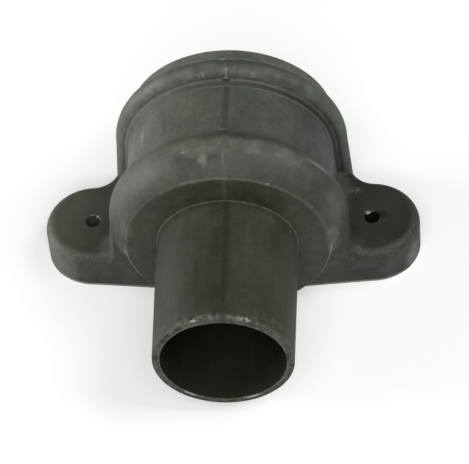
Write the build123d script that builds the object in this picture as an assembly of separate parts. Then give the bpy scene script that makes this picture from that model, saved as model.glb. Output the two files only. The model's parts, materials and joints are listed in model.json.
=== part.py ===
from build123d import *
import math
import os

# Coupler for a round rainwater downpipe, moulded in one piece in an old cast iron pattern.
# Row frame: the wall is the plane z = 0 and +Z points away from it, +Y runs along the pipe towards
# the socket mouth, +X runs across the two fixing ears. The origin lies on the wall plane, half way
# between the two screw holes. All sizes are in millimetres.
os.makedirs("parts", exist_ok=True)

# The pipe axis. Stations are counted along it from the free end of the spigot.
AXIS_HEIGHT = 38.0          # pipe axis above the wall plane
EAR_STATION = 93.0          # station of the two screw holes

# Spigot, the narrow end that the next pipe slides over.
SPIGOT_R = 31.0             # outer radius on the parallel stretch by the root
SPIGOT_TIP_R = 30.6         # outer radius at the free end
SPIGOT_SEAT = 24.0          # length of the parallel stretch
SPIGOT_BORE_R = 27.3        # bore radius
SPIGOT_ROOT = 63.0          # station where the spigot meets the shoulder
SPIGOT_RIM = 0.4            # bevel of the rim

# Shoulder: a flat ring round the spigot, then a swelling, then the plain barrel.
FACE_R = 43.7               # outer radius of the flat ring
FACE_PROUD = 0.7            # how far the outer edge of the ring stands back from its root
SWELL_R = 46.0              # radius where the swelling starts, past the bevel round the flat ring
SWELL_START = 64.3          # its station
CREST_STATION = 79.5        # station of the widest point of the swelling
CREST_R = 52.9              # radius at the widest point
BARREL_R = 46.0             # plain barrel
BARREL_START = 91.0         # station where the swelling runs out into the barrel
LEDGE_HEIGHT = 30.0         # height where the swelling in front of the near wall stops on a ledge
DISC_R = 45.6               # below the ledge the flat ring is the front of a plain disc of this radius
DISC_BEVEL = 0.4            # bevel of its edge

# Bead and lip at the mouth of the socket.
BARREL_END = 116.2          # station where the barrel runs out into the bead
BEAD_START = 118.3          # station where the bead starts, past the bevel in the corner below it
BEAD_START_R = 47.8         # its radius
BEAD_CREST = 123.6          # station of its widest point
BEAD_R = 52.1               # radius at its widest point
BEAD_TOP = 127.7            # station of the sharp upper edge
BEAD_TOP_R = 50.4           # radius of the sharp upper edge
LIP_R = 46.0                # plain lip above the bead
MOUTH = 137.2               # station of the mouth
LIP_BEVEL = 0.8             # bevel of the lip
TOP = AXIS_HEIGHT + max(CREST_R, BEAD_R)    # highest point above the wall plane

# Behind the axis the body runs straight back to the wall and spreads a little.
SPREAD = 2.6                # extra half width at the wall plane
NEAR_STATION = 68.8         # station of the near wall of that part, in the middle
NEAR_FLAT = 30.0            # half width of the straight middle of the near wall

# Socket sleeve that takes the pipe from above.
SOCKET_R = 34.5             # bore radius, for a pipe 68 mm across
SOCKET_FLOOR = 67.4         # station of the stop for the pipe
SLEEVE_WALL = 3.0           # wall of the sleeve
SLEEVE_SET_BACK = 2.0       # sleeve end below the mouth
LEAD_IN = 1.5               # bevel at the mouth of the sleeve

# Space between the sleeve and the outer shell, open at the mouth.
SHELL_R = 43.0              # inner radius of the shell
RING_FLOOR = 68.2           # station of its floor in front of the axis
BACK_FLOOR = 73.4           # station of its floor behind the axis
BACK_WALL = 3.0             # wall that lies on the brickwork
WEB = 2.5                   # webs between sleeve and shell
WEB_ANGLES = [90.0, 30.0, 150.0, -36.0, 216.0]

# Fixing ears.
HOLE_SPACING = 125.4        # screw hole spacing
EAR_CENTRE = HOLE_SPACING / 2   # the round end of an ear is struck from its screw hole
EAR_HALF = 21.4             # half the height along the pipe, and the radius of the round end
EAR_THICK = 19.2            # thickness, from the wall plane to the front face
EAR_ROUND = 4.5             # rounding round the front face
EAR_COVE = 5.5              # hollow rounding between the front face and the side of the body
EAR_HOLLOW = 11.5           # hollow rounding in plan, between the round end and the side of the bead
EAR_LEAN = SPREAD * (1 - EAR_THICK / AXIS_HEIGHT)   # how far the body has spread at the front of an ear
BEAD_OVERLAP = 0.4          # how deep that rounding runs into the side of the bead
EAR_FLANK = BEAD_R + EAR_LEAN - BEAD_OVERLAP    # half width where it does
COVE_MARGIN = 0.5           # front of the ear past the hollow rounding, where it is built on the body alone
HOLE_R = 3.2                # screw hole radius
HOLE_BEVEL = 0.4            # bevel on the front edge of a screw hole
BOSS_R = 6.2                # boss round a screw hole, seen from the back
EAR_WALL = 3.0              # wall left round the pockets in the back of an ear
POCKET_INNER = SHELL_R + 5.6    # inner end of those pockets
EAR_RIB = 2.4               # ribs across the pockets


def along(station):
    """Row Y of a station on the pipe axis."""
    return station - EAR_STATION


def point(radius, station, height=AXIS_HEIGHT):
    """A point of a half profile, drawn in a plane parallel to the wall."""
    return Vector(radius, along(station), height)


def s_curve(start, end, height):
    """Two equal arcs that leave one level along the axis and join another level along the axis."""
    (r1, s1), (r2, s2) = start, end
    middle = point((r1 + r2) / 2, (s1 + s2) / 2, height)
    first = TangentArc(point(r1, s1, height), middle, tangent=(0, 1, 0))
    second = TangentArc(point(r2, s2, height), middle, tangent=(0, -1, 0))
    return [first, second]


def shoulder_edges(height):
    """Half profile of the shoulder, from the flat ring to the start of the barrel."""
    swell = point(SWELL_R, SWELL_START, height)
    edges = [Line(point(FACE_R, SPIGOT_ROOT + FACE_PROUD, height), swell)]
    edges.append(TangentArc(point(CREST_R, CREST_STATION, height), swell, tangent=(0, -1, 0)))
    edges += s_curve((CREST_R, CREST_STATION), (BARREL_R, BARREL_START), height)
    return edges


def mouth_edges(height):
    """Half profile of barrel, bead and lip."""
    corner = point(BARREL_R, BARREL_END, height)
    bead_start = point(BEAD_START_R, BEAD_START, height)
    bead = point(BEAD_R, BEAD_CREST, height)
    top = point(BEAD_TOP_R, BEAD_TOP, height)
    lip = point(LIP_R, BEAD_TOP, height)
    edges = [Line(point(BARREL_R, BARREL_START, height), corner)]
    edges.append(Line(corner, bead_start))
    edges.append(TangentArc(bead, bead_start, tangent=(0, -1, 0)))
    edges.append(TangentArc(bead, top, tangent=(0, 1, 0)))
    edges.append(Line(top, lip))
    mouth_outer = point(LIP_R, MOUTH - LIP_BEVEL, height)
    mouth_inner = point(LIP_R - LIP_BEVEL, MOUTH, height)
    edges.append(Line(lip, mouth_outer))
    edges.append(Line(mouth_outer, mouth_inner))
    return edges


def side_face(edges, end, height):
    """Closed half face between the pipe axis and a half profile that ends at a radius and a station."""
    ring = point(FACE_R, SPIGOT_ROOT + FACE_PROUD, height)
    corners = [point(*end, height), point(0, end[1], height), point(0, SPIGOT_ROOT + FACE_PROUD, height), ring]
    closing = [Line(first, second) for first, second in zip(corners, corners[1:])]
    return Face(Wire(edges + closing))


def spigot_edges(first, end):
    """Half profile of the spigot, from a first point on the flat ring to the pipe axis and along it."""
    root = point(SPIGOT_R, SPIGOT_ROOT)
    seat = point(SPIGOT_R, SPIGOT_ROOT - SPIGOT_SEAT)
    tip = point(SPIGOT_TIP_R, SPIGOT_RIM)
    rim = point(SPIGOT_TIP_R - SPIGOT_RIM, 0)
    corners = [first, root, seat, tip, rim, point(0, 0), point(0, end)]
    return [Line(one, other) for one, other in zip(corners, corners[1:])]


def full_profile():
    """Closed half face that is turned round the pipe axis above the ledge."""
    edges = shoulder_edges(AXIS_HEIGHT) + mouth_edges(AXIS_HEIGHT)
    edges += spigot_edges(point(FACE_R, SPIGOT_ROOT + FACE_PROUD), MOUTH)
    edges.append(Line(point(0, MOUTH), point(LIP_R - LIP_BEVEL, MOUTH)))
    return Face(Wire(edges))


def disc_profile():
    """Closed half face of the spigot with the plain disc behind it, turned below the ledge."""
    flat_r = DISC_R - DISC_BEVEL
    front = SPIGOT_ROOT + FACE_PROUD * (flat_r - SPIGOT_R) / (FACE_R - SPIGOT_R)
    inner = point(flat_r, front)
    outer = point(DISC_R, front + DISC_BEVEL)
    back = point(DISC_R, BACK_FLOOR)
    edges = spigot_edges(inner, BACK_FLOOR)
    edges += [Line(inner, outer), Line(outer, back), Line(back, point(0, BACK_FLOOR))]
    return Face(Wire(edges))


def turned(profile):
    """Solid of a half face turned right round the pipe axis."""
    return revolve(profile, axis=Axis((0, 0, AXIS_HEIGHT), (0, 1, 0)), revolution_arc=360)


def block(x1, x2, y1, y2, z1, z2):
    """Plain block between two corners."""
    return Pos((x1 + x2) / 2, (y1 + y2) / 2, (z1 + z2) / 2) * Box(x2 - x1, y2 - y1, z2 - z1)


def rod(radius, start, end):
    """Round rod on the pipe axis between two stations."""
    turned = Rot(-90, 0, 0) * Cylinder(radius, end - start)
    return Pos(0, along((start + end) / 2), AXIS_HEIGHT) * turned


def both_sides(shape):
    """The shape and its mirror image across the middle plane."""
    return shape + mirror(shape, about=Plane.YZ)


def near_line():
    """Near wall in plan, from the middle out to the start of the round end of the right ear."""
    return [(0, along(NEAR_STATION)), (NEAR_FLAT, along(NEAR_STATION)), (EAR_CENTRE, -EAR_HALF)]


def ear_plate():
    """Right ear as a plate that runs in under the body, rounded round its front face."""
    plan = Polygon(*near_line(), (EAR_CENTRE, EAR_HALF), (0, EAR_HALF), align=None)
    plan += Pos(EAR_CENTRE, 0) * Circle(EAR_HALF)
    hollow_x = EAR_FLANK + EAR_HOLLOW
    hollow_y = math.sqrt((EAR_HALF + EAR_HOLLOW) ** 2 - (hollow_x - EAR_CENTRE) ** 2)
    share = EAR_HALF / (EAR_HALF + EAR_HOLLOW)
    touch = (EAR_CENTRE + (hollow_x - EAR_CENTRE) * share, hollow_y * share)
    corner = Polygon(
        (NEAR_FLAT, 0), (touch[0], 0), touch, (hollow_x, hollow_y), (NEAR_FLAT, hollow_y),
        align=None,
    )
    plan += corner - Pos(hollow_x, hollow_y) * Circle(EAR_HOLLOW)
    plate = extrude(plan, amount=EAR_THICK)
    front = plate.faces().sort_by(Axis.Z)[-1]
    outer = [e for e in front.edges() if e.center().X > BARREL_R or e.center().Y < -EAR_HALF]
    free = [e for e in outer if e.center().X > NEAR_FLAT]
    return fillet(free, EAR_ROUND)


def is_junction(edge):
    """Whether an edge lies in the hollow corner between the front of an ear and the side of the body."""
    middle = edge.center()
    beside = BARREL_R - 1 < middle.X < CREST_R and along(NEAR_STATION) < middle.Y < EAR_HALF
    return beside and EAR_THICK / 2 < middle.Z < EAR_THICK + 1


def coved_side():
    """Shoulder and barrel with the inner part of the ear, and the hollow rounding between them."""
    end = (BARREL_R, BEAD_START)
    barrel = Line(point(BARREL_R, BARREL_START, 0), point(*end, 0))
    side = extrude(side_face(shoulder_edges(0) + [barrel], end, 0), amount=AXIS_HEIGHT, dir=(0, 0, 1))
    far = (BARREL_R + EAR_LEAN + EAR_COVE + COVE_MARGIN, along(BEAD_START))
    clear = max(EAR_CENTRE, CREST_R + EAR_LEAN + EAR_COVE + COVE_MARGIN)
    plan = Polygon(*near_line()[:-1], (clear, -EAR_HALF), (clear, 0), far, (0, far[1]), align=None)
    plate =Pos(-EAR_LEAN, 0, 0) * extrude(plan, amount=EAR_THICK)
    front = plate.faces().sort_by(Axis.Z)[-1]
    near_edge = front.edges().filter_by(lambda e: e.center().Y < -EAR_HALF and e.center().X > NEAR_FLAT)
    side += fillet(near_edge, EAR_ROUND)
    return fillet([e for e in side.edges() if is_junction(e)], EAR_COVE)


def spread(shape):
    """The shape leaning outwards towards the wall, by SPREAD from the height of the axis to the wall plane."""
    lean = Matrix([[1, 0, -SPREAD / AXIS_HEIGHT, SPREAD], [0, 1, 0, 0], [0, 0, 1, 0]])
    return shape.transform_geometry(lean).fix()


def back_half():
    """Right half of the body behind the axis, with its ear."""
    outline = side_face(shoulder_edges(0) + mouth_edges(0), (LIP_R - LIP_BEVEL, MOUTH), 0)
    straight = extrude(outline, amount=AXIS_HEIGHT, dir=(0, 0, 1)) + coved_side()
    past = along(0)
    near_side = Polygon(*near_line(), (2 * EAR_CENTRE, -EAR_HALF), (2 * EAR_CENTRE, past), (0, past), align=None)
    return spread(straight) + ear_plate() - extrude(near_side, amount=AXIS_HEIGHT, dir=(0, 0, 1))


def ear_pockets():
    """Pockets in the back of the right ear, between its walls, its boss and its ribs."""
    inner = EAR_HALF - EAR_WALL
    depth = EAR_THICK - EAR_WALL
    plan = Pos(EAR_CENTRE, 0) * Circle(inner)
    plan += Pos((POCKET_INNER + EAR_CENTRE) / 2, 0) * Rectangle(EAR_CENTRE - POCKET_INNER, 2 * inner)
    hole_x = HOLE_SPACING / 2
    plan -= Pos(hole_x, 0) * Circle(BOSS_R)
    plan -= Pos(hole_x, 0) * Rectangle(4 * EAR_HALF, EAR_RIB)
    plan -= Pos(hole_x, 0) * Rectangle(EAR_RIB, 4 * EAR_HALF)
    return extrude(plan, amount=depth)


def screw_hole():
    """Screw hole of the right ear with its bevel."""
    hole_x = HOLE_SPACING / 2
    hole = Pos(hole_x, 0, EAR_THICK / 2) * Cylinder(HOLE_R, EAR_THICK + 2)
    bevel = Pos(hole_x, 0, EAR_THICK - HOLE_BEVEL / 2) * Cone(HOLE_R, HOLE_R + HOLE_BEVEL, HOLE_BEVEL)
    return hole + bevel


def ring_space():
    """Space between sleeve and shell, less the webs that join them."""
    past = MOUTH + 5
    round_part = rod(SHELL_R, RING_FLOOR, past)
    round_part &= block(-SHELL_R, SHELL_R, along(RING_FLOOR), along(past), BACK_WALL, AXIS_HEIGHT + SHELL_R + 1)
    low, high = BACK_WALL, AXIS_HEIGHT
    wide = SHELL_R + SPREAD * (1 - BACK_WALL / AXIS_HEIGHT)
    section = Plane(origin=(0, along(BACK_FLOOR), 0), x_dir=(1, 0, 0), z_dir=(0, -1, 0)) * Polygon(
        (-wide, low), (wide, low), (SHELL_R, high), (-SHELL_R, high), align=None,
    )
    square_part = extrude(section, amount=-(past - BACK_FLOOR))
    space = round_part + square_part
    space -= rod(SOCKET_R + SLEEVE_WALL, RING_FLOOR - 1, past + 1)
    for angle in WEB_ANGLES:
        web = block(0, 2 * SHELL_R, along(RING_FLOOR) - 1, along(MOUTH - SLEEVE_SET_BACK - 1), -WEB / 2, WEB / 2)
        space -= Pos(0, 0, AXIS_HEIGHT) * Rot(0, -angle, 0) * web
    return space


def bores():
    """Socket bore, its lead-in, the cut-back above the sleeve end and the spigot bore."""
    sleeve_end = MOUTH - SLEEVE_SET_BACK
    tool = rod(SOCKET_R, SOCKET_FLOOR, MOUTH + 5)
    bevel = Cone(SOCKET_R + LEAD_IN, SOCKET_R, LEAD_IN)
    tool += Pos(0, along(sleeve_end - LEAD_IN / 2), AXIS_HEIGHT) * Rot(90, 0, 0) * bevel
    tool += rod(SOCKET_R + SLEEVE_WALL, sleeve_end, MOUTH + 5)
    tool += rod(SPIGOT_BORE_R, -5, SOCKET_FLOOR + 1)
    return tool


body = turned(full_profile()) & block(-CREST_R, CREST_R, along(0), along(MOUTH), LEDGE_HEIGHT, TOP)
body += turned(disc_profile()) & block(-DISC_R, DISC_R, along(0), along(BACK_FLOOR), 0, LEDGE_HEIGHT)
body += block(-2 * SPREAD, 2 * SPREAD, along(NEAR_STATION), along(MOUTH), 0, AXIS_HEIGHT)
body += both_sides(back_half())
body -= ring_space()
body -= bores()
body -= both_sides(ear_pockets())
body -= both_sides(screw_hole())

coupler = body.solids().sort_by(SortBy.VOLUME)[-1]
export_step(coupler, "parts/downpipe_coupler.step")
box = coupler.bounding_box()
print("solids", len(body.solids()), "volume", round(coupler.volume), "valid", coupler.is_valid)
print("size", round(box.size.X, 2), round(box.size.Y, 2), round(box.size.Z, 2))
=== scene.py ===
import json
import math
from collections import namedtuple

import bpy
import numpy as np
from mathutils import Matrix, Vector


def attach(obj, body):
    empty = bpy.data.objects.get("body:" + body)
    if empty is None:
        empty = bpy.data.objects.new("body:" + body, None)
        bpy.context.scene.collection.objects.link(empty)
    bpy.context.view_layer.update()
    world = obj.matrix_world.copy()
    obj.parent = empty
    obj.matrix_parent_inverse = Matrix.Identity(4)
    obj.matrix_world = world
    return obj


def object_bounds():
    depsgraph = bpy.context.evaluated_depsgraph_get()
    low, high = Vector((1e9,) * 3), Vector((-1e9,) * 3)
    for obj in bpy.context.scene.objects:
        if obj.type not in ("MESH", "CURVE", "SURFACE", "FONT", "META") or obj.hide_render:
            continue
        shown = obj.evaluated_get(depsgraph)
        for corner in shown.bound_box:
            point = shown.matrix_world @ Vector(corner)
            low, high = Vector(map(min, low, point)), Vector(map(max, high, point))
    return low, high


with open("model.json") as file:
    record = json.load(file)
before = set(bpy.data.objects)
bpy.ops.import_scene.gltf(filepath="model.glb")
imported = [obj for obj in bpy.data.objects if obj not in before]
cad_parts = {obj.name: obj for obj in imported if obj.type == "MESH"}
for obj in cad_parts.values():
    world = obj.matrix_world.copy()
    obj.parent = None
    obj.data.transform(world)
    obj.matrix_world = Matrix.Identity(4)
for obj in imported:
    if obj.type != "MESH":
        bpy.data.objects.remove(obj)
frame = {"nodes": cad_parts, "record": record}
cad_low, cad_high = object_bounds()
MOULDING = frame["nodes"]["downpipe_coupler"]
MOUNTS = {mount["name"]: mount for mount in frame["record"]["mounts"]}

# The row frame is in metres: the wall is z = 0, +Y runs along the pipe to the socket mouth and +X across the ears.
# The sizes of marks are in millimetres. Stations are counted along the pipe axis from the end of the spigot.
MM = 0.001
AXIS_HEIGHT = MOUNTS["socket"]["pos_m"][2] / MM
HOLE_ASIDE = MOUNTS["fixing_holes"]["dims"]["spacing_x_mm"] / 2
HOLE_R = MOUNTS["fixing_holes"]["dims"]["hole_r_mm"]
EAR_FRONT = 18.8
EAR_STATION = 93.0
WHOLE_LENGTH = 137.2

# Outer profile in millimetres, from the rim of the spigot to the back of the bead.
Ring = namedtuple("Ring", "station radius")
RIM = Ring(0.4, 30.6)
TAPER_END = Ring(39.0, MOUNTS["spigot"]["dims"]["r_mm"])
SPIGOT_ROOT = Ring(63.0, TAPER_END.radius)
SWELLING_FOOT = Ring(64.3, 46.0)
SWELLING_CREST = Ring(79.5, 52.9)
SWELLING_BACK = Ring(85.25, 49.45)
BARREL_FOOT = Ring(91.0, 46.0)
BEAD_FOOT = Ring(116.2, BARREL_FOOT.radius)
BEAD_FLANK = Ring(118.3, 47.8)
BEAD_CREST = Ring(123.6, 52.1)
BEAD_BACK = Ring(127.7, 50.4)

# Radius at which the edge of the ring is rubbed pale.
RING_EDGE = SWELLING_FOOT.radius - 1.0

# X of the middle of the mould line, which steps aside between the spigot and the body.
SPIGOT_LINE_X = 1.8
BODY_LINE_X = 0.7

# Camera: where the photograph was taken from, found from the rings of the coupler in it, with angles in radians.
PHOTO_WIDTH_PX = 469
CAMERA_PLACE = Vector((94.9, -822.2 - EAR_STATION, 1122.5 + AXIS_HEIGHT)) * MM
CAMERA_YAW = -0.1028
CAMERA_DOWN = 0.8964
CAMERA_ROLL = -0.0949
FOCAL_PX = 3267.5
SENSOR_MM = 36.0


def make_camera():
    """Camera that looks along +Y, turned by yaw to the side, by a dip downwards, then rolled about its own line."""
    forward = Vector((
        math.sin(CAMERA_YAW) * math.cos(CAMERA_DOWN),
        math.cos(CAMERA_YAW) * math.cos(CAMERA_DOWN),
        -math.sin(CAMERA_DOWN),
    ))
    level = Vector((math.cos(CAMERA_YAW), -math.sin(CAMERA_YAW), 0.0))
    above = level.cross(forward)
    right = math.cos(CAMERA_ROLL) * level + math.sin(CAMERA_ROLL) * above
    up = -math.sin(CAMERA_ROLL) * level + math.cos(CAMERA_ROLL) * above
    data = bpy.data.cameras.new("photo_camera")
    data.sensor_width = SENSOR_MM
    data.lens = FOCAL_PX * SENSOR_MM / PHOTO_WIDTH_PX
    data.clip_start = 0.05
    data.clip_end = 30.0
    camera = bpy.data.objects.new("photo_camera", data)
    turn = Matrix((right, up, -forward)).transposed().to_4x4()
    camera.matrix_world = Matrix.Translation(CAMERA_PLACE) @ turn
    bpy.context.scene.collection.objects.link(camera)
    bpy.context.scene.camera = camera


def new_material(name):
    """Material with an output and a Principled shader."""
    material = bpy.data.materials.new(name)
    material.use_nodes = True
    return material, material.node_tree.nodes, material.node_tree.links


# Lamps: name, place and sides in metres, power in watts.
LAMPS = [
    ("front_panel", (0, -0.9, 1.1), (0.9, 0.9), 9.3),
    ("left_panel", (-1.2, 0, 0.35), (0.8, 0.6), 12.3),
    ("right_panel", (0.9, 0, 1.1), (0.9, 0.9), 10.5),
]
LAMPS_AIM_AT = Vector((0, 0, 0.03))
ROOM_LIGHT = 0.02
PAPER_HALF_SIDE = 3.0
PAPER_WHITE = 0.82
PAPER_LIFT = 0.33


def add_light(name, place, size, power):
    """Rectangular soft light that points at the coupler."""
    data = bpy.data.lights.new(name, "AREA")
    data.shape = "RECTANGLE"
    data.size, data.size_y = size
    data.energy = power
    light = bpy.data.objects.new(name, data)
    light.location = place
    aim = LAMPS_AIM_AT - light.location
    light.rotation_euler = aim.to_track_quat("-Z", "Y").to_euler()
    bpy.context.scene.collection.objects.link(light)


def make_lights():
    """Three soft panels in front, low on the left and high on the right, in a nearly dark room."""
    for lamp in LAMPS:
        add_light(*lamp)
    world = bpy.data.worlds.new("studio")
    bpy.context.scene.world = world
    world.use_nodes = True
    background = world.node_tree.nodes["Background"]
    background.inputs["Color"].default_value = (1, 1, 1, 1)
    background.inputs["Strength"].default_value = ROOM_LIGHT


def make_floor():
    """White paper under the coupler, which keeps its shadow and is a little brighter to the camera."""
    side = PAPER_HALF_SIDE
    mesh = bpy.data.meshes.new("floor_paper")
    corners = [(-side, -side, 0), (side, -side, 0), (side, side, 0), (-side, side, 0)]
    mesh.from_pydata(corners, [], [(0, 1, 2, 3)])
    floor = bpy.data.objects.new("floor_paper", mesh)
    bpy.context.scene.collection.objects.link(floor)
    material, nodes, links = new_material("white_paper")
    shader = nodes["Principled BSDF"]
    shader.inputs["Base Color"].default_value = (PAPER_WHITE, PAPER_WHITE, PAPER_WHITE, 1)
    shader.inputs["Roughness"].default_value = 0.9
    shader.inputs["Specular IOR Level"].default_value = 0.1
    path = nodes.new("ShaderNodeLightPath")
    shader.inputs["Emission Color"].default_value = (1, 1, 1, 1)
    lift = nodes.new("ShaderNodeMath")
    lift.operation = "MULTIPLY"
    lift.inputs[1].default_value = PAPER_LIFT
    links.new(path.outputs["Is Camera Ray"], lift.inputs[0])
    links.new(lift.outputs[0], shader.inputs["Emission Strength"])
    mesh.materials.append(material)


class Graph:
    """Adds nodes to one material. A value given to a method is either a number or another node's output."""

    def __init__(self, nodes, links):
        self.nodes = nodes
        self.links = links

    def feed(self, socket, value):
        """Links an output to a socket, or writes a constant into it."""
        if isinstance(value, bpy.types.NodeSocket):
            self.links.new(value, socket)
        else:
            socket.default_value = value

    def math(self, operation, first, second=0.0):
        """One arithmetic step."""
        node = self.nodes.new("ShaderNodeMath")
        node.operation = operation
        self.feed(node.inputs[0], first)
        self.feed(node.inputs[1], second)
        return node.outputs[0]

    def product(self, *values):
        """Several masks multiplied together."""
        result = values[0]
        for value in values[1:]:
            result = self.math("MULTIPLY", result, value)
        return result

    def sum(self, *values):
        """Several values added together."""
        result = values[0]
        for value in values[1:]:
            result = self.math("ADD", result, value)
        return result

    def union(self, *masks):
        """The largest of several masks."""
        result = masks[0]
        for mask in masks[1:]:
            result = self.math("MAXIMUM", result, mask)
        return result

    def rise(self, value, low, high):
        """Smooth step: 0 at low, 1 at high. With high below low it falls instead."""
        node = self.nodes.new("ShaderNodeMapRange")
        node.interpolation_type = "SMOOTHSTEP"
        node.clamp = True
        self.feed(node.inputs["Value"], value)
        self.feed(node.inputs["From Min"], min(low, high))
        self.feed(node.inputs["From Max"], max(low, high))
        self.feed(node.inputs["To Min"], 0.0 if low < high else 1.0)
        self.feed(node.inputs["To Max"], 1.0 if low < high else 0.0)
        return node.outputs["Result"]

    def band(self, value, middle, half):
        """1 in the middle of a band, falling smoothly to 0 at its half width."""
        return self.rise(self.math("ABSOLUTE", self.math("SUBTRACT", value, middle)), half, 0.0)

    def bar(self, value, middle, half, soft):
        """1 across a strip, falling to 0 over a soft border outside its half width."""
        return self.rise(self.math("ABSOLUTE", self.math("SUBTRACT", value, middle)), half + soft, half)

    def noise(self, place, scale, detail=3.0, stretch=(1, 1, 1)):
        """Value of fractal noise, with scale in waves per millimetre."""
        scaled = self.nodes.new("ShaderNodeVectorMath")
        scaled.operation = "MULTIPLY"
        self.feed(scaled.inputs[0], place)
        scaled.inputs[1].default_value = stretch
        node = self.nodes.new("ShaderNodeTexNoise")
        self.feed(node.inputs["Vector"], scaled.outputs["Vector"])
        node.inputs["Scale"].default_value = scale
        node.inputs["Detail"].default_value = detail
        return node.outputs["Fac"]

    def spot(self, place, centre, size):
        """Ball-shaped mask round a point in millimetres, 1 in the middle and 0 at its size along each axis."""
        shift = self.nodes.new("ShaderNodeVectorMath")
        shift.operation = "SUBTRACT"
        self.feed(shift.inputs[0], place)
        shift.inputs[1].default_value = centre
        shrink = self.nodes.new("ShaderNodeVectorMath")
        shrink.operation = "DIVIDE"
        self.feed(shrink.inputs[0], shift.outputs["Vector"])
        shrink.inputs[1].default_value = size
        length = self.nodes.new("ShaderNodeVectorMath")
        length.operation = "LENGTH"
        self.feed(length.inputs[0], shrink.outputs["Vector"])
        return self.rise(length.outputs["Value"], 1.0, 0.3)

    def mix(self, share, first, second, way="MIX"):
        """Blend of two colours."""
        node = self.nodes.new("ShaderNodeMix")
        node.data_type = "RGBA"
        node.blend_type = way
        node.clamp_factor = True
        self.feed(node.inputs[0], share)
        self.feed(node.inputs[6], first)
        self.feed(node.inputs[7], second)
        return node.outputs[2]

    def ramp(self, value, stops):
        """Colours laid out along a value from 0 to 1."""
        node = self.nodes.new("ShaderNodeValToRGB")
        elements = node.color_ramp.elements
        while len(elements) < len(stops):
            elements.new(1.0)
        for element, (position, colour) in zip(elements, stops):
            element.position = position
            element.color = (*colour, 1)
        self.feed(node.inputs["Fac"], value)
        return node.outputs["Color"]


# Colours of the plastic by station, fitted to the photograph's tones: darker and more olive on the spigot, paler
# towards the lip. How much of that is colour, dust or light can't be told from it.
PLASTIC = [
    (0.0, (0.027, 0.030, 0.015)),
    (35.0, (0.030, 0.033, 0.015)),
    (62.9, (0.033, 0.037, 0.019)),
    (64.5, (0.046, 0.053, 0.037)),
    (79.5, (0.058, 0.067, 0.049)),
    (92.0, (0.066, 0.076, 0.060)),
    (118.0, (0.071, 0.082, 0.066)),
    (127.0, (0.090, 0.102, 0.083)),
    (129.0, (0.115, 0.118, 0.096)),
]
PALE = (0.30, 0.315, 0.27, 1)
CHALK = (0.42, 0.43, 0.39, 1)
DEEP = (0.010, 0.012, 0.006, 1)
COOL = (0.062, 0.078, 0.068, 1)
WARM = (0.075, 0.070, 0.040, 1)
MOSS = (0.046, 0.057, 0.036, 1)
BASE_ROUGHNESS = 0.50
GRAIN_DEPTH = 0.1
GRAIN_STRENGTH = 0.7
GRAIN_WAVES_PER_MM = 1.6

# Spots where the photograph shows a mark: centre, then reach along each axis, in millimetres.
SPOTS = {
    "smudge": ((-8.0, -22.5, 88.0), (3.0, 4.4, 4.0)),
    "dot_on_swelling_left": ((-16.5, -18.1, 87.7), (1.3, 0.7, 1.2)),
    "dot_on_swelling_right": ((19.8, -28.9, 78.7), (1.0, 0.7, 0.9)),
    "dot_on_flank": ((46.1, 18.6, 36.2), (1.0, 1.2, 1.6)),
    "bead_right": ((12.0, 26.4, 86.6), (3.0, 1.6, 2.0)),
    "bead_left": ((-10.4, 26.5, 87.1), (3.4, 1.8, 2.0)),
    "scratch": ((-37.5, 9.2, 64.6), (1.6, 6.5, 2.2)),
    "right_corner": ((46.0, -27.5, 41.0), (5.0, 4.0, 11.0)),
    "right_flank": ((48.0, -22.0, 55.0), (6.0, 8.0, 14.0)),
    "right_hollow": ((54.8, 15.0, 20.0), (5.0, 2.8, 3.5)),
    "left_flank": ((-44.0, -28.0, 50.0), (4.0, 4.0, 13.0)),
    "ear_tip": ((81.5, -11.0, 5.5), (8.0, 8.0, 12.0)),
    "nub": ((0.7, 25.2, 86.0), (1.5, 0.8, 1.6)),
    "lip": ((-0.8, 33.6, 89.2), (1.7, 1.4, 1.8)),
    "left_burr": ((-60.6, 2.3, 19.0), (0.9, 1.0, 1.2)),
    "right_burr": ((60.9, 2.4, 19.0), (1.8, 1.6, 1.3)),
    "below_right_hole": ((62.0, -2.8, 18.8), (0.7, 0.6, 0.8)),
    "left_flash": ((-11.4, -92.8, 66.6), (2.6, 0.9, 1.0)),
    "right_flash": ((11.0, -92.2, 66.7), (5.5, 1.4, 1.8)),
    "rim_low_left": ((-15.5, -93.0, 15.2), (6.0, 0.9, 3.4)),
    "rim_low_right": ((10.9, -93.0, 12.6), (6.5, 0.9, 2.8)),
    "under_nub": ((0.7, 24.2, 85.6), (3.0, 2.4, 2.6)),
    "left_ear_corner": ((-52.5, -15.5, 20.0), (7.0, 7.0, 7.0)),
    "dark_beside_right_hole": ((66.2, 1.4, 19.0), (5.4, 3.4, 4.0)),
    "rim_chip": ((27.9, -93.0, 41.5), (1.4, 1.4, 4.5)),
    "pinch": ((-0.4, -3.8, 84.2), (3.2, 0.9, 2.0)),
    "above_pinch": ((-0.4, -2.2, 84.2), (2.8, 0.7, 2.0)),
    "ring_nick": ((21.2, -29.2, 78.2), (0.7, 1.6, 2.5)),
}


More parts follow.
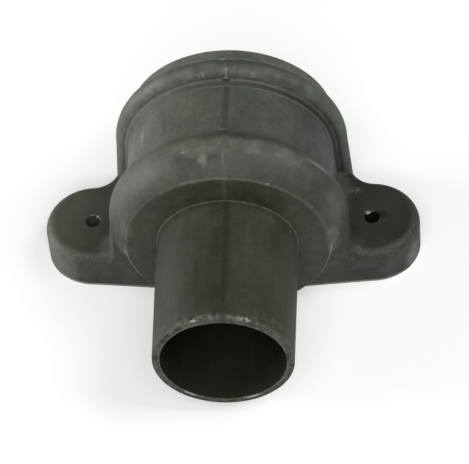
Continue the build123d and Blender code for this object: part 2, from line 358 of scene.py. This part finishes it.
class Plastic(Graph):
    """Nodes of the plastic, with a point's place on the coupler in millimetres, the noises, and the regions that
    several kinds of mark share."""

    def __init__(self, nodes, links):
        super().__init__(nodes, links)
        coordinates = nodes.new("ShaderNodeTexCoord")
        scaled = nodes.new("ShaderNodeVectorMath")
        scaled.operation = "SCALE"
        scaled.inputs["Scale"].default_value = 1 / MM
        links.new(coordinates.outputs["Object"], scaled.inputs[0])
        self.place = scaled.outputs["Vector"]
        split = nodes.new("ShaderNodeSeparateXYZ")
        links.new(self.place, split.inputs[0])
        self.x, self.y, self.z = split.outputs
        self.station = self.math("ADD", self.y, EAR_STATION)
        self.height = self.math("SUBTRACT", self.z, AXIS_HEIGHT)
        self.radius = self.distance(self.x, self.height)
        self.aside = self.math("ABSOLUTE", self.x)
        self.from_hole = self.distance(self.math("SUBTRACT", self.aside, HOLE_ASIDE), self.y)

        self.speck = self.noise(self.place, 0.8, 2.0)
        self.fleck = self.noise(self.place, 0.34, 2.0)
        self.cloud = self.noise(self.place, 0.16, 2.0)
        self.blotch = self.noise(self.place, 0.07, 3.0)
        self.streaks = self.noise(self.place, 0.24, 2.0, (1.0, 0.25, 1.0))
        self.ragged = self.rise(self.speck, 0.36, 0.66)
        self.patchy = self.rise(self.cloud, 0.38, 0.62)
        self.soft = self.sum(0.55, self.product(self.rise(self.fleck, 0.34, 0.66), 0.45))

        self.above = self.rise(self.height, -8.0, 4.0)
        self.front = self.rise(self.height, 20.0, 26.0)
        self.ear_front = self.product(self.rise(self.aside, 49.0, 57.0), self.rise(self.z, 16.0, EAR_FRONT))
        self.hole = self.product(self.rise(self.from_hole, HOLE_R + 0.6, HOLE_R + 0.1), self.rise(self.z, -1.0, 0.0))
        self.rim_face = self.product(self.rise(self.station, 0.8, 0.2), self.rise(self.radius, 27.2, 27.5))
        # Pale, smoother line round the inner edge of the rim: partly pale flash, partly a painted highlight.
        broken = self.sum(0.2, self.product(self.ragged, 0.8))
        self.rim_line = self.product(self.rim_face, self.rise(self.radius, 28.0, 27.6), broken, 0.70)
        self.nub = self.product(self.mark("nub"), 0.60)
        self.glints = self.bright_points()
        # Darker, rougher spot in the corner by the left ear: painted shade over a highlight that the lamps give there.
        self.shaded_dull_corner = self.product(self.mark("left_ear_corner"), 0.40)

    def distance(self, first, second):
        """Length of the diagonal over two lengths at right angles."""
        squares = self.math("ADD", self.math("POWER", first, 2.0), self.math("POWER", second, 2.0))
        return self.math("SQRT", squares)

    def invert(self, mask):
        """1 where a mask is 0, and 0 where it is 1."""
        return self.math("SUBTRACT", 1.0, mask)

    def around(self, noise):
        """Noise moved down by a half, so that it swings about 0."""
        return self.math("SUBTRACT", noise, 0.5)

    def mark(self, name):
        """Mask of one of the named spots."""
        return self.spot(self.place, *SPOTS[name])

    def bright_points(self):
        """Bright points on the burrs, the flash and the lower edge of the rim. They are laid as pale, smooth plastic:
        pale flash with a painted highlight on each."""
        low_left = self.product(self.mark("rim_low_left"), self.rim_face, self.rise(self.radius, 28.7, 28.1))
        low_right = self.product(self.mark("rim_low_right"), self.rim_face, self.rise(self.radius, 28.9, 28.3))
        return self.union(
            self.mark("left_burr"), self.mark("right_burr"), self.mark("below_right_hole"), self.mark("left_flash"),
            self.product(self.mark("right_flash"), self.ragged, 1.4), low_left, low_right,
        )


# Each function from here to the finished plastic takes the plastic's nodes as g, and gives back a colour or a mask.
def fitted_light(g, colour):
    """Regions made lighter or darker until they matched the photograph's tones, where the three lamps alone didn't.
    They stand in for its light and shade, except perhaps on the fronts of the ears, which may be darker plastic.
    They stay as they are under any other light."""
    x, y, station = g.x, g.y, g.station
    below = g.invert(g.rise(station, 60.0, 64.0))
    upper = g.rise(station, 66.0, 80.0)
    under_bead = g.invert(g.rise(station, 116.0, 120.0))
    upper_left = g.product(upper, g.rise(x, 10.0, -62.0))
    upper_right = g.product(upper, g.rise(x, 18.0, 62.0), under_bead)
    ear_near_side = g.product(g.rise(g.aside, 47.0, 52.0), g.rise(y, -19.5, -21.0))
    right_ear = g.product(g.ear_front, g.rise(x, 0.0, 30.0))
    left_ear_top = g.product(g.ear_front, g.rise(x, -30.0, -50.0), g.rise(y, -2.0, 16.0))
    groove_right = g.product(g.rise(x, 30.0, 46.0), g.bar(station, 117.2, 1.2, 0.6))
    on_bead = g.product(g.rise(station, 117.5, 120.0), g.rise(station, 128.6, 127.8))
    bead_middle = g.product(on_bead, g.rise(g.aside, 40.0, 14.0))
    on_ring = g.product(g.bar(station, 63.6, 0.6, 0.3), g.rise(g.radius, 31.6, 33.0))
    ring_side = g.product(on_ring, g.rise(g.aside, 10.0, 34.0))
    spigot_left = g.product(below, g.rise(x, -8.0, -30.0))
    regions = [
        (upper_left, 0.16, PALE),
        (upper_right, 0.68, DEEP),
        (ear_near_side, 0.50, DEEP),
        (g.ear_front, 0.20, DEEP),
        (g.ear_front, 0.55, MOSS),
        (right_ear, 0.47, DEEP),
        (left_ear_top, 0.05, PALE),
        (groove_right, 0.60, DEEP),
        (bead_middle, 0.22, DEEP),
        (ring_side, 0.045, PALE),
        (spigot_left, 0.72, DEEP),
    ]
    for region, share, towards in regions:
        colour = g.mix(g.product(region, share), colour, towards)
    return colour


def mottled(g, colour):
    """Mottling of the plastic: a pale patch on the lip, cool clouds, warm streaks, and a tint of several noises.
    All but the largest blotches are weaker on the fronts of the ears."""
    still = g.invert(g.product(g.ear_front, 0.8))
    lip_patch = g.product(g.rise(g.station, 128.0, 129.0), g.rise(g.cloud, 0.46, 0.58), g.rise(g.x, -10.0, 24.0))
    cool_cloud = g.product(g.rise(g.cloud, 0.46, 0.70), still, g.rise(g.station, 50.0, 66.0))
    warm_streak = g.product(g.rise(g.streaks, 0.50, 0.72), still)
    for region, share, towards in [(lip_patch, 0.12, PALE), (cool_cloud, 0.28, COOL), (warm_streak, 0.16, WARM)]:
        colour = g.mix(g.product(region, share), colour, towards)
    tint = g.sum(
        1.0,
        g.product(g.around(g.streaks), 0.55, still),
        g.product(g.around(g.blotch), 0.8),
        g.product(g.around(g.cloud), 0.50, still),
        g.product(g.around(g.fleck), 0.45, still),
        g.product(g.around(g.speck), 0.70, still),
    )
    shade = g.nodes.new("ShaderNodeCombineColor")
    for socket in shade.inputs[:3]:
        g.links.new(tint, socket)
    return g.mix(1.0, colour, shade.outputs[0], "MULTIPLY")


def pale_and_highlit_edges(g):
    """Pale edges on the ring, the root and rim of the spigot, the bead, the foot by the wall and the ears. The ragged
    flash and flecks on the rim are pale plastic. The lines along the ring, the top and foot of the bead and the inner
    edge of the rim are painted highlights, and the line along the foot is a painted reflection."""
    station, radius, height, aside = g.station, g.radius, g.height, g.aside
    # Painted highlight on the rounded outer edge of the ring: a soft band over the top, brightest in the middle, and a
    # thin line along the lower edge.
    middle = g.sum(0.42, g.product(g.rise(aside, 34.0, 12.0), 0.58))
    on_ring_top = g.product(g.bar(radius, RING_EDGE, 0.2, 1.0), g.band(station, SWELLING_FOOT.station - 0.2, 1.1))
    ring_top = g.product(on_ring_top, g.above, g.soft, 0.42)
    ring_top = g.product(ring_top, middle)
    ring_low = g.product(g.rise(radius, RING_EDGE - 0.1, RING_EDGE + 0.15), g.rise(station, 64.6, 64.2))
    ring_low = g.product(ring_low, g.rise(height, 2.0, -4.0), g.soft, 0.62)
    in_root = g.product(g.band(radius, SPIGOT_ROOT.radius + 0.2, 0.6), g.band(station, SPIGOT_ROOT.station, 0.6))
    root = g.product(in_root, g.soft, 0.50)
    # Painted highlight along the top edge of the bead.
    bead_top = g.product(g.rise(radius, 49.9, 50.3), g.rise(station, 126.0, 127.2), g.soft)
    bead_top = g.product(bead_top, g.rise(height, -10.0, 10.0), 0.85)
    # Painted highlight on the foot of the bead under its shaded groove, stronger to the right.
    at_foot = g.product(g.band(station, BEAD_FOOT.station - 0.6, 0.8), g.band(radius, BEAD_FOOT.radius, 0.6))
    bead_foot = g.product(at_foot, g.above, g.soft, 0.30)
    bead_foot = g.product(bead_foot, g.rise(g.x, -30.0, 6.0))

    rim_grain = g.product(g.rim_face, g.rise(g.fleck, 0.38, 0.60), 0.24)
    rim_edge = g.product(g.rise(station, 1.6, 0.3), g.rise(radius, 29.8, 30.2), g.ragged, 0.30)
    fringe = g.product(g.rise(station, 3.4, 1.0), g.rise(height, 21.0, 27.0), g.rise(g.fleck, 0.42, 0.56))
    fringe = g.product(fringe, g.rise(radius, 29.8, 30.2), 0.34)
    collar = g.product(g.rise(station, 12.0, 1.0), g.rise(radius, 29.8, 30.2), g.rise(g.fleck, 0.44, 0.66), 0.10)
    collar = g.product(collar, g.rise(aside, 6.0, 24.0))

    # Painted reflection: a light line along the foot by the wall.
    foot = g.product(g.rise(g.z, 1.5, 0.9), g.rise(g.y, -14.0, -18.0), 0.80)
    on_ear = g.rise(g.z, 9.0, 17.0)
    ear_round = g.product(g.rise(aside, 62.0, 63.5), g.rise(g.from_hole, 16.8, 19.6), on_ear)
    ear_near = g.product(g.rise(aside, 47.0, 52.0), g.rise(g.y, -17.0, -20.2), on_ear)
    ear_edge = g.product(g.union(ear_round, ear_near), g.ragged, 0.09)
    return g.union(
        ring_top, ring_low, root, bead_top, g.rim_line, rim_edge, fringe, collar, foot, bead_foot, ear_edge, rim_grain,
    )


def pale_marks(g):
    """Pale marks, laid where the photograph shows them. Whether a soft one is a scuff or a gleam of light can't be
    told from it."""
    top_side = g.rise(g.height, 25.0, 42.0)
    crest_left = g.product(g.bar(g.station, SWELLING_CREST.station - 3.0, 1.5, 4.5), top_side, g.rise(g.x, -36.0, -6.0))
    # Painted highlight along the crest of the swelling on the right.
    streak = g.product(g.band(g.station, SWELLING_CREST.station + 0.3, 1.6), g.band(g.x, 41.0, 7.0), g.front, 0.40)
    dots = g.union(g.mark("dot_on_swelling_left"), g.mark("dot_on_flank"), g.mark("dot_on_swelling_right"))
    # Soft pale band over the top of the bead.
    pale_bead_band = g.product(g.bar(g.station, 121.0, 1.5, 2.5), g.rise(g.height, 24.0, 40.0))
    return g.union(
        g.product(crest_left, g.rise(g.speck, 0.48, 0.70), g.patchy, 0.26),
        g.product(crest_left, g.sum(0.5, g.product(g.patchy, 0.5)), 0.12),
        streak,
        g.product(g.union(g.mark("bead_right"), g.mark("bead_left")), g.ragged, 0.30),
        g.product(g.mark("smudge"), g.rise(g.fleck, 0.20, 0.60), 0.24),
        g.product(dots, 0.45),
        g.product(g.mark("scratch"), g.rise(g.fleck, 0.25, 0.60), 0.26),
        g.product(pale_bead_band, g.patchy, g.soft, 0.08),
        g.product(g.mark("right_corner"), g.soft, 0.13),
        g.product(g.mark("right_flank"), g.soft, 0.06),
        g.product(g.mark("right_hollow"), g.ragged, 0.22),
        # Painted highlight down the left edge of the swelling.
        g.product(g.mark("left_flank"), g.soft, 0.08),
        g.product(g.mark("ear_tip"), g.soft, 0.34),
        g.product(g.mark("lip"), 0.8),
        # Painted highlights on the pale burrs and flash of the rim.
        g.product(g.glints, 0.85),
    )


def dark_marks(g):
    """Dark marks: the shaded side of the mould line, the groove under the bead and the nub, the bore and the screw
    holes, dark patches beside the right screw hole and at the pinch, nicks, a darker spot in the corner by the left
    ear, and the dirt on the rim. Those in hollows, beside the line and in that corner are painted shade, deepening a
    shade that the lamps leave too light."""
    station, x = g.station, g.x
    # Painted shade along the dark side of the mould line and beside it.
    line_noise = g.sum(0.7, g.product(g.rise(g.fleck, 0.35, 0.65), 0.4))
    spigot_line = g.product(g.bar(x, SPIGOT_LINE_X - 0.1, 0.9, 0.9), line_noise, 0.66)
    beside_line = g.product(g.bar(x, 0.2, 2.0, 2.5), 0.16)
    on_spigot = g.rise(station, SPIGOT_ROOT.station + 0.2, SPIGOT_ROOT.station - 0.2)
    spigot_line = g.product(g.union(spigot_line, beside_line), on_spigot, g.front)
    body_line = g.product(g.bar(x, BODY_LINE_X, 0.9, 0.9), g.rise(station, 86.0, 92.0), g.front, line_noise, 0.42)
    body_line = g.product(body_line, g.rise(station, 119.0, 116.0))
    # Painted shade in the groove under the bead, stronger to the right, and round the nub.
    under_bead = g.product(g.bar(station, BEAD_FOOT.station + 0.5, 0.45, 0.6), g.rise(g.height, -20.0, 0.0))
    under_bead = g.product(under_bead, g.sum(0.22, g.product(g.rise(x, -34.0, 14.0), 0.60)))
    under_nub = g.product(g.mark("under_nub"), 0.85)
    # Dark patch to the right of the right screw hole.
    dark_by_hole = g.mark("dark_beside_right_hole")
    pinch = g.product(g.mark("pinch"), 0.40)
    ring_nick = g.product(g.mark("ring_nick"), 0.45)
    # Painted shade inside the bore and the screw holes, the right hole darker than the left.
    bore = g.product(g.rise(g.radius, 27.45, 27.25), g.rise(station, 70.0, 68.0), 0.66)
    in_hole = g.product(g.hole, g.sum(0.10, g.product(g.rise(x, -10.0, 10.0), 0.8)))
    rim_dirt = g.product(g.rim_face, g.rise(g.speck, 0.50, 0.64), 0.60)
    dark = g.union(
        spigot_line, body_line, under_bead, under_nub, dark_by_hole, pinch, ring_nick, g.shaded_dull_corner, bore, in_hole, rim_dirt,
    )
    clear = g.invert(g.union(g.glints, g.nub, g.product(g.rim_line, 0.7)))
    return g.union(g.product(dark, clear), g.product(g.mark("rim_chip"), 0.85))


def lit_lines(g):
    """Light side of the mould line on the swelling, the ring and the bead, the nub, and the light over the pinch."""
    swelling_line = g.product(g.bar(g.x, BODY_LINE_X, 0.3, 0.7), g.band(g.station, 72.0, 9.0), g.front, g.soft, 0.16)
    ring_line = g.product(g.band(g.x, 0.9, 1.8), g.band(g.station, 63.4, 1.0), g.front, 0.14)
    bead_line = g.product(g.bar(g.x, BODY_LINE_X, 0.2, 0.6), g.bar(g.station, 119.5, 1.2, 1.0), g.front, 0.34)
    over_pinch = g.product(g.mark("above_pinch"), 0.25)
    return g.union(swelling_line, ring_line, bead_line, over_pinch, g.nub)


def moulded_plastic():
    """Dark grey plastic with a green cast, a fine matt grain, pale edges and the marks that the photograph shows."""
    material, nodes, links = new_material("dark_moulded_plastic")
    g = Plastic(nodes, links)
    stops = [(station / WHOLE_LENGTH, colour) for station, colour in PLASTIC]
    colour = g.ramp(g.math("DIVIDE", g.station, WHOLE_LENGTH), stops)
    colour = mottled(g, fitted_light(g, colour))
    edges = pale_and_highlit_edges(g)
    marks = pale_marks(g)
    for mask, towards in [(edges, PALE), (marks, CHALK), (dark_marks(g), DEEP), (lit_lines(g), PALE)]:
        colour = g.mix(mask, colour, towards)

    rough = g.sum(
        BASE_ROUGHNESS,
        g.product(g.streaks, 0.14),
        g.product(g.union(edges, marks), 0.15),
        g.product(g.shaded_dull_corner, 1.2),
        g.product(g.hole, -0.30),
        g.product(g.glints, -0.40),
        g.product(g.rim_line, -0.25),
    )
    grain = g.noise(g.place, GRAIN_WAVES_PER_MM, 2.0)
    bump = nodes.new("ShaderNodeBump")
    bump.inputs["Distance"].default_value = GRAIN_DEPTH * MM
    bump.inputs["Strength"].default_value = GRAIN_STRENGTH
    links.new(g.sum(grain, g.product(g.cloud, 2.0)), bump.inputs["Height"])

    shader = nodes["Principled BSDF"]
    links.new(colour, shader.inputs["Base Color"])
    links.new(rough, shader.inputs["Roughness"])
    links.new(bump.outputs["Normal"], shader.inputs["Normal"])
    return material


def crown(station, crest, through):
    """Radius of a round arc that lies level at its crest and passes through another point, each given as
    (station, radius): r = r0 - R + sqrt(R^2 - (s - s0)^2), with R counted negative for a hollow."""
    (s0, r0), (s1, r1) = crest, through
    bend = ((s1 - s0) ** 2 + (r0 - r1) ** 2) / (2 * (r0 - r1))
    inside = np.clip(bend ** 2 - (station - s0) ** 2, 0, None)
    return r0 - bend + np.sign(bend) * np.sqrt(inside)


def cone(station, *rings):
    """Radius that goes in straight lines from ring to ring."""
    return np.interp(station, [ring.station for ring in rings], [ring.radius for ring in rings])


def outer_radius(station):
    """Outer radius of the coupler at each station: spigot, swelling, barrel, bead and lip, one after another."""
    stretches = [
        (SPIGOT_ROOT.station + 0.2, cone(station, RIM, TAPER_END, SPIGOT_ROOT)),
        (SWELLING_CREST.station, crown(station, SWELLING_CREST, SWELLING_FOOT)),
        (SWELLING_BACK.station, crown(station, SWELLING_CREST, SWELLING_BACK)),
        (BARREL_FOOT.station, crown(station, BARREL_FOOT, SWELLING_BACK)),
        (BEAD_FOOT.station, np.full_like(station, BARREL_FOOT.radius)),
        (BEAD_FLANK.station, cone(station, BEAD_FOOT, BEAD_FLANK)),
        (BEAD_CREST.station, crown(station, BEAD_CREST, BEAD_FLANK)),
        (BEAD_BACK.station, crown(station, BEAD_CREST, BEAD_BACK)),
    ]
    return np.select([station < end for end, _ in stretches], [radius for _, radius in stretches], BARREL_FOOT.radius)


def sheet_mesh(name, grid, material, closed=False):
    """Object made of one grid of points in millimetres, wound so that its faces look outward."""
    rows, columns, _ = grid.shape
    across = columns if closed else columns - 1
    i, j = np.meshgrid(np.arange(rows - 1), np.arange(across), indexing="ij")
    right = (j + 1) % columns
    faces = np.stack([i * columns + j, i * columns + right, (i + 1) * columns + right, (i + 1) * columns + j], axis=-1)
    mesh = bpy.data.meshes.new(name)
    mesh.from_pydata((grid.reshape(-1, 3) * MM).tolist(), [], faces.reshape(-1, 4).tolist())
    mesh.polygons.foreach_set("use_smooth", np.ones(len(mesh.polygons), bool))
    mesh.materials.append(material)
    piece = bpy.data.objects.new(name, mesh)
    bpy.context.scene.collection.objects.link(piece)
    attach(piece, "root")
    return piece


# Mould lines: name, first and last station, X of the middle, half width and height over the surface.
MOULD_LINES = [
    ("spigot_mould_line", 0.8, 62.8, SPIGOT_LINE_X, 1.3, 0.22),
    ("barrel_mould_line", 80.5, 118.0, BODY_LINE_X, 1.2, 0.25),
    ("bead_mould_line", 118.2, 122.0, BODY_LINE_X, 1.3, 0.5),
    ("swelling_mould_line", 65.0, 77.0, BODY_LINE_X, 0.6, 0.16),
]
LINE_STEPS_PER_MM = 1.5
LINE_SINK = 0.05
LINE_FADE = 1.5

# Lumps of moulding waste: name, centre, half sizes, and turn in radians about the line away from the wall.
LUMPS = [
    ("mould_nub", (BODY_LINE_X, 25.0, 85.9), (1.5, 0.9, 0.7), 0.0),
    ("left_hole_burr", (-60.5, 2.2, 19.0), (0.6, 0.9, 0.35), 0.7),
    ("right_hole_burr", (60.9, 2.5, 19.0), (1.3, 1.1, 0.5), 0.4),
]

# Skins of plastic on the rim of the spigot: name, first and last angle from the top, and phase of the waves.
RIM_FLASHES = [
    ("rim_flash_left", -25, -17, 0.4),
    ("rim_flash_right", -2, 31, 1.9),
]
RIM_END = Ring(0.0, 30.2)
FLASH_SINK = 0.03
FLASH_PROUD = 0.28


def mould_line(name, material, start, end, middle, half, proud):
    """Low rounded ridge along the top of the coupler, from one station to another: across it, the height over
    the surface is proud * (1 - u^2)^2 - sink for u from -1 to 1; along it, a slow sine makes it waver."""
    along_it = np.linspace(start, end, int((end - start) * LINE_STEPS_PER_MM) + 2)[:, None]
    u = np.linspace(-1, 1, 9)[None, :]
    radius = outer_radius(along_it)
    slope = np.gradient(radius[:, 0], along_it[:, 0])[:, None]
    waver = 0.12 * np.sin(along_it * 0.55) + 0.08 * np.sin(along_it * 1.7 + 1)
    fade = np.clip(np.minimum(along_it - start, end - along_it) / LINE_FADE, 0, 1)
    level = proud * fade * (1 - u ** 2) ** 2 * (1 + 0.3 * np.sin(along_it * 0.9)) - LINE_SINK
    x = middle + waver + half * u
    steep = np.sqrt(1 + slope ** 2)
    top = np.sqrt(radius ** 2 - x ** 2) + level / steep
    stations = along_it - level * slope / steep + 0 * u
    z = np.minimum(AXIS_HEIGHT + top, cad_high[2] / MM)
    grid = np.stack([x + 0 * z, stations - EAR_STATION, z], axis=-1)
    return sheet_mesh(name, grid[:, ::-1], material)


def rim_flash(name, material, first, last, phase):
    """Ragged skin of plastic over the edge of the spigot: angle a from first to last, v from the rim back to a
    wavy border, radius = spigot - sink + proud * sin(pi v) ^ 0.5, border = sum of sines of the angle."""
    a = np.radians(np.linspace(first, last, 70))[:, None]
    v = np.linspace(0, 1, 7)[None, :]
    share = (a - a[0]) / (a[-1] - a[0])
    wave = np.sin(a * 37 + phase) + 0.6 * np.sin(a * 83 + 2 * phase) + 0.4 * np.sin(a * 151 + phase)
    depth = (1.1 + 0.35 * wave) * np.sin(np.pi * share) ** 0.4 + 0.15
    station = 0.05 + v * depth
    base = cone(station, RIM_END, RIM, TAPER_END)
    radius = base - FLASH_SINK + FLASH_PROUD * np.sqrt(np.sin(np.pi * np.clip(v, 0.001, 0.999)))
    grid = np.stack([
        radius * np.sin(a), station - EAR_STATION + 0 * a, AXIS_HEIGHT + radius * np.cos(a),
    ], axis=-1)
    return sheet_mesh(name, grid, material)


def lump(name, material, centre, size, turn):
    """Small rounded lump of moulding waste: a ball scaled to its size, drawn in at the sides by the cosine of
    its longitude times two, and turned about the line away from the wall."""
    lift = np.linspace(-0.5, 0.5, 13)[:, None] * math.pi * 0.998
    around = np.linspace(0, 2 * math.pi, 24, endpoint=False)[None, :]
    drawn = 1 + 0.18 * np.cos(2 * around + 0.6)
    x = np.cos(lift) * np.cos(around) * drawn * size[0]
    y = np.cos(lift) * np.sin(around) * drawn * size[1]
    z = np.sin(lift) * size[2] + 0 * around
    c, s = math.cos(turn), math.sin(turn)
    grid = np.stack([centre[0] + c * x - s * y, centre[1] + s * x + c * y, centre[2] + z], axis=-1)
    return sheet_mesh(name, grid, material, closed=True)


def dress_moulding():
    """Puts the plastic on the moulding and adds its small moulding marks."""
    material = moulded_plastic()
    slots = MOULDING.data.materials
    slots.clear()
    slots.append(material)
    for name, *shape in MOULD_LINES:
        mould_line(name, material, *shape)
    for name, *shape in LUMPS:
        lump(name, material, *shape)
    for name, *shape in RIM_FLASHES:
        rim_flash(name, material, *shape)


make_camera()
make_lights()
make_floor()
dress_moulding()

bpy.context.scene.view_settings.view_transform = "Standard"
